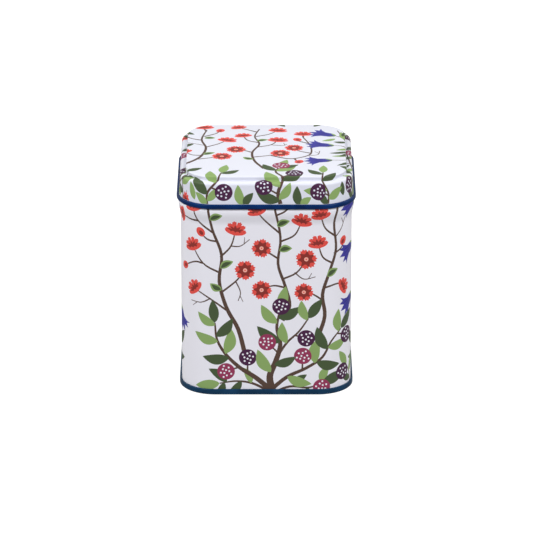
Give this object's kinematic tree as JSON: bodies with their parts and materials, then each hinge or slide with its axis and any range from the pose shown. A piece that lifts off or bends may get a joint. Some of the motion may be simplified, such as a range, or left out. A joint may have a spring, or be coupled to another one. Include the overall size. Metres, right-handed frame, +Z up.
{
  "type": "slip-lid storage tin",
  "caption": "Square thin-walled storage tin with rounded corners, a double-seamed bottom end, a bead below the neck, and a slip-on lid with a raised panel and a rolled edge.",
  "frame": {"origin": "centre of the underside, on the surface the tin stands on", "axes": "+Z up through the lid; -Y is the front face; +X is the right face seen from the front"},
  "size_m": [0.0764, 0.0764, 0.0984],
  "materials": {
    "printed_sheet": "satin white enamel with a printed pattern of branches, blossoms, leaves and berries",
    "navy_lacquer": "glossy navy lacquer",
    "bare_tinplate": "bright rolled tinplate",
    "sealing_compound": "matt sealing compound"
  },
  "bodies": {
    "tin": {"body_wall": "printed_sheet", "side_seam": "bare_tinplate", "base_end": "navy_lacquer", "seam_compound": "sealing_compound"},
    "lid": {"lid_shell": "printed_sheet", "lid_curl": "navy_lacquer"}
  },
  "joints": [
    {"name": "lid_lift", "type": "slide", "parent": "tin", "child": "lid", "axis": [0, 0, 1], "range_m": [0, 0.06]}
  ]
}
